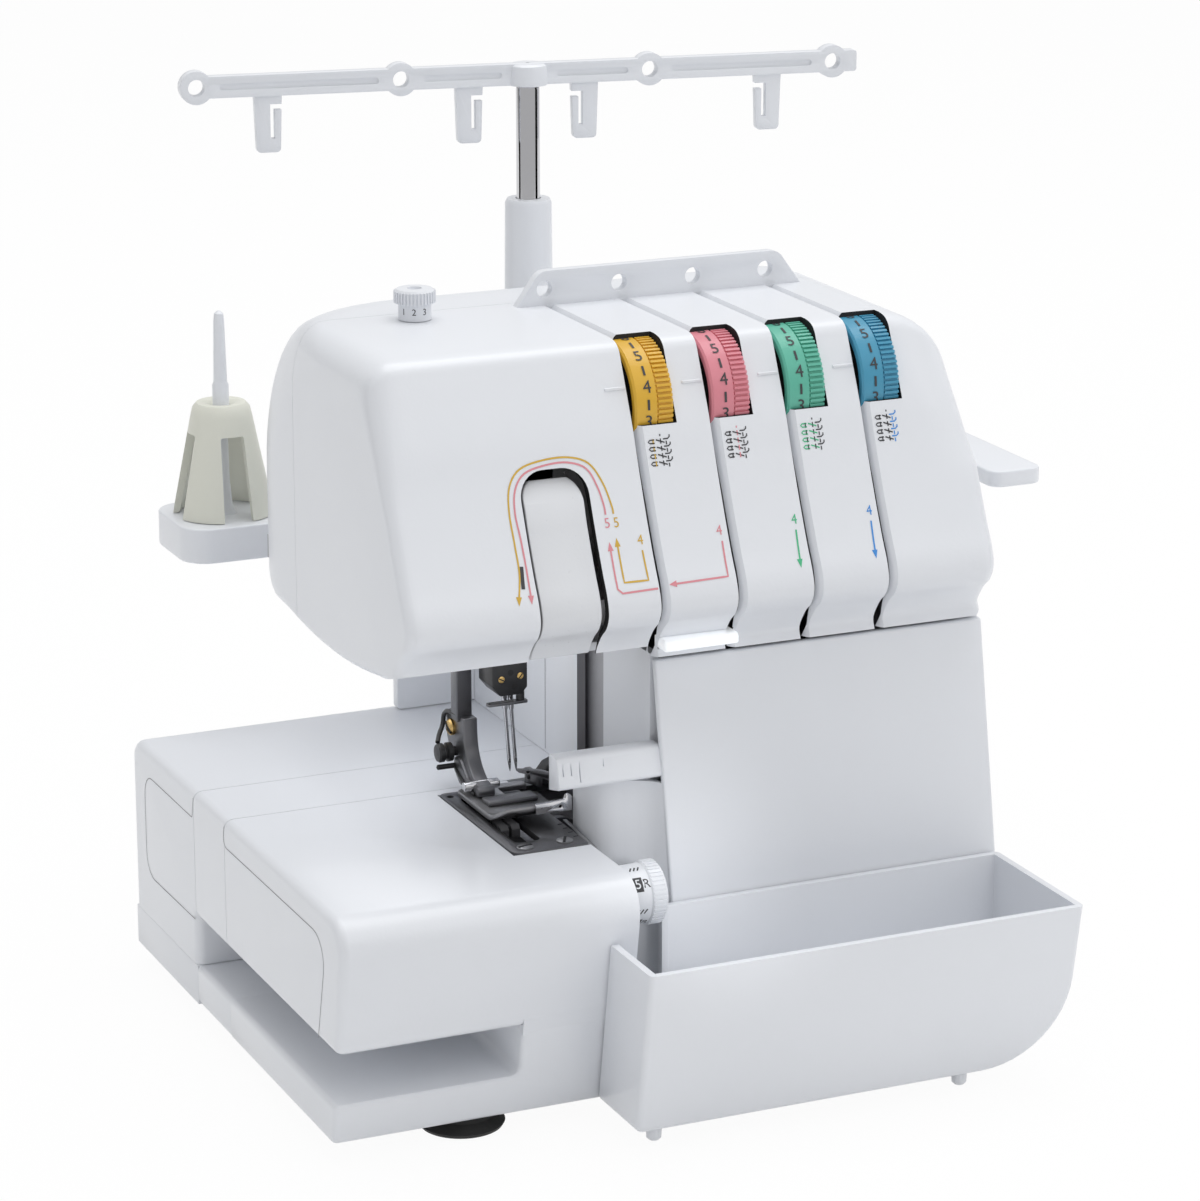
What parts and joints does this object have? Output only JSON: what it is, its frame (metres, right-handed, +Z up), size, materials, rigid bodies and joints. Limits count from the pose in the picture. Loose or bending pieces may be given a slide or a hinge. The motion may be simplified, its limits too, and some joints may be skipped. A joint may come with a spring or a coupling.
{
  "type": "overlock sewing machine",
  "caption": "White free-arm overlock sewing machine with coloured thread tension dials, needle and looper works, slide-off table, trim bin, spool stand and telescopic thread tree.",
  "frame": {"origin": "on the resting plane, under the centre of the machine's bounding box", "axes": "+X to the operator's right, +Y to the back, +Z up"},
  "size_m": [0.34, 0.282, 0.3035],
  "materials": {
    "white": "satin moulded plastic",
    "grey": "satin silver-grey plastic",
    "cream": "matt moulded plastic",
    "black": "black plastic and blackened steel",
    "rubber": "matt black",
    "casting": "sand-cast",
    "steel": "ground and polished",
    "chrome": "polished",
    "bronze": "sintered bush",
    "motor_paint": "dark enamel",
    "clear": "clear lens",
    "yellow": "moulded",
    "pink": "moulded",
    "green": "moulded",
    "blue": "moulded"
  },
  "bodies": {
    "machine": {"base_pan": "white", "rubber_feet": "rubber", "bed_rear_cover": "white", "free_arm_cover": "white", "machine_frame": "casting", "shaft_bearings": "bronze", "column_panel": "white", "rear_cover": "white", "right_cover": "white", "head_front_cover": "white", "head_rear_cover": "white", "head_base_plate": "white", "take_up_cover": "grey", "lamp_lens": "clear", "thread_guide_plate": "white", "tension_bracket": "steel", "tension_discs": "steel", "pressure_leaf": "steel", "needle_plate": "steel", "looper_shaft": "steel", "lower_knife": "steel", "motor": "motor_paint", "drive_belt": "rubber", "power_inlet": "black", "spool_stand": "white", "spool_pins": "cream", "pole_tube": "white"},
    "needle_bar": {"needle_bar": "steel", "needle_clamp": "black", "needles": "steel"},
    "presser_bar": {"presser_bar": "steel", "presser_ankle": "steel"},
    "drive_shaft": {"main_shaft": "steel", "handwheel": "white"},
    "front_cover": {"front_cover": "white", "cloth_guide": "white"},
    "extension_table": {"extension_table": "white"},
    "tension_dial_1": {"tension_dial_1": "yellow"},
    "tension_dial_2": {"tension_dial_2": "pink"},
    "tension_dial_3": {"tension_dial_3": "green"},
    "tension_dial_4": {"tension_dial_4": "blue"},
    "presser_foot": {"presser_foot": "steel"},
    "pressure_knob": {"pressure_knob": "white"},
    "presser_lifter": {"presser_lifter": "white"},
    "feed_dog": {"feed_dog": "steel"},
    "upper_looper": {"upper_looper": "steel"},
    "lower_looper": {"lower_looper": "steel"},
    "upper_knife": {"upper_knife": "steel"},
    "motor_pulley": {"motor_pulley": "steel"},
    "stitch_length_dial": {"stitch_length_dial": "white"},
    "feed_ratio_dial": {"feed_ratio_dial": "white"},
    "power_switch": {"power_switch": "black"},
    "width_dial": {"width_dial": "white"},
    "trim_bin": {"trim_bin": "white"},
    "cone_holder_1": {"cone_holder_1": "cream"},
    "cone_holder_2": {"cone_holder_2": "cream"},
    "cone_holder_3": {"cone_holder_3": "cream"},
    "cone_holder_4": {"cone_holder_4": "cream"},
    "pole_rod": {"pole_rod": "chrome"},
    "thread_tree": {"thread_tree": "white"}
  },
  "joints": [
    {"name": "table_off", "type": "slide", "parent": "machine", "child": "extension_table", "axis": [-1, 0, 0], "range_m": [0, 0.11]},
    {"name": "tension_1", "type": "hinge", "parent": "machine", "child": "tension_dial_1", "pos_m": [-0.041, -0.037, 0.2175], "axis": [1, 0, 0], "range_deg": [-150, 150]},
    {"name": "tension_2", "type": "hinge", "parent": "machine", "child": "tension_dial_2", "pos_m": [-0.0141, -0.037, 0.2175], "axis": [1, 0, 0], "range_deg": [-150, 150]},
    {"name": "tension_3", "type": "hinge", "parent": "machine", "child": "tension_dial_3", "pos_m": [0.0128, -0.037, 0.2175], "axis": [1, 0, 0], "range_deg": [-150, 150]},
    {"name": "tension_4", "type": "hinge", "parent": "machine", "child": "tension_dial_4", "pos_m": [0.0397, -0.037, 0.2175], "axis": [1, 0, 0], "range_deg": [-150, 150]},
    {"name": "needle_stroke", "type": "slide", "parent": "machine", "child": "needle_bar", "axis": [0, 0, 1], "range_m": [-0.018, 0.007]},
    {"name": "lifter_swing", "type": "hinge", "parent": "machine", "child": "presser_lifter", "pos_m": [-0.087, 0.03, 0.137], "axis": [-1, 0, 0], "range_deg": [0, 30]},
    {"name": "presser_lift", "type": "slide", "parent": "machine", "child": "presser_bar", "axis": [0, 0, 1], "range_m": [0, 0.006]},
    {"name": "foot_tilt", "type": "hinge", "parent": "presser_bar", "child": "presser_foot", "pos_m": [-0.087, -0.007, 0.092], "axis": [-1, 0, 0], "range_deg": [0, 8]},
    {"name": "pressure_turn", "type": "hinge", "parent": "machine", "child": "pressure_knob", "pos_m": [-0.0956, 0.01, 0.245], "axis": [0, 0, 1], "range_deg": [-180, 180]},
    {"name": "feed_stroke", "type": "slide", "parent": "machine", "child": "feed_dog", "axis": [0, 1, 0], "range_m": [-0.002, 0.002]},
    {"name": "upper_looper_swing", "type": "hinge", "parent": "machine", "child": "upper_looper", "pos_m": [-0.056, -0.041, 0.052], "axis": [0, 1, 0], "range_deg": [0, 8]},
    {"name": "lower_looper_swing", "type": "hinge", "parent": "machine", "child": "lower_looper", "pos_m": [-0.056, -0.027, 0.052], "axis": [0, 1, 0], "range_deg": [0, 8]},
    {"name": "knife_stroke", "type": "slide", "parent": "machine", "child": "upper_knife", "axis": [0, 0, 1], "range_m": [0, 0.006]},
    {"name": "handwheel_turn", "type": "hinge", "parent": "machine", "child": "drive_shaft", "pos_m": [0, 0.025, 0.045], "axis": [1, 0, 0], "continuous": true},
    {"name": "motor_turn", "type": "hinge", "parent": "machine", "child": "motor_pulley", "pos_m": [0.063, 0.04, 0.112], "axis": [1, 0, 0], "continuous": true},
    {"name": "length_turn", "type": "hinge", "parent": "machine", "child": "stitch_length_dial", "pos_m": [0.076, 0, 0.105], "axis": [1, 0, 0], "range_deg": [-120, 120]},
    {"name": "feed_ratio_turn", "type": "hinge", "parent": "machine", "child": "feed_ratio_dial", "pos_m": [0.076, 0.062, 0.105], "axis": [1, 0, 0], "range_deg": [-120, 120]},
    {"name": "switch_rock", "type": "hinge", "parent": "machine", "child": "power_switch", "pos_m": [0.0705, -0.042, 0.108], "axis": [0, 1, 0], "range_deg": [-6, 6]},
    {"name": "width_turn", "type": "hinge", "parent": "machine", "child": "width_dial", "pos_m": [-0.059, -0.092, 0.071], "axis": [1, 0, 0], "range_deg": [-120, 120]},
    {"name": "cover_slide", "type": "slide", "parent": "machine", "child": "front_cover", "axis": [1, 0, 0], "range_m": [0, 0.006]},
    {"name": "bin_off", "type": "slide", "parent": "machine", "child": "trim_bin", "axis": [0, -1, 0], "range_m": [0, 0.08]},
    {"name": "cone_lift_1", "type": "slide", "parent": "machine", "child": "cone_holder_1", "axis": [0, 0, 1], "range_m": [0, 0.05]},
    {"name": "cone_lift_2", "type": "slide", "parent": "machine", "child": "cone_holder_2", "axis": [0, 0, 1], "range_m": [0, 0.05]},
    {"name": "cone_lift_3", "type": "slide", "parent": "machine", "child": "cone_holder_3", "axis": [0, 0, 1], "range_m": [0, 0.05]},
    {"name": "cone_lift_4", "type": "slide", "parent": "machine", "child": "cone_holder_4", "axis": [0, 0, 1], "range_m": [0, 0.05]},
    {"name": "pole_extend", "type": "slide", "parent": "machine", "child": "pole_rod", "axis": [0, 0, 1], "range_m": [-0.015, 0.055]},
    {"name": "tree_turn", "type": "hinge", "parent": "pole_rod", "child": "thread_tree", "pos_m": [-0.0088, 0.1196, 0.294], "axis": [0, 0, 1], "range_deg": [-90, 90]}
  ],
  "couplings": [
    {"joint": "lifter_swing", "follows": "presser_lift", "rad_per_m": 87.266},
    {"joint": "motor_turn", "follows": "handwheel_turn", "ratio": 3}
  ]
}
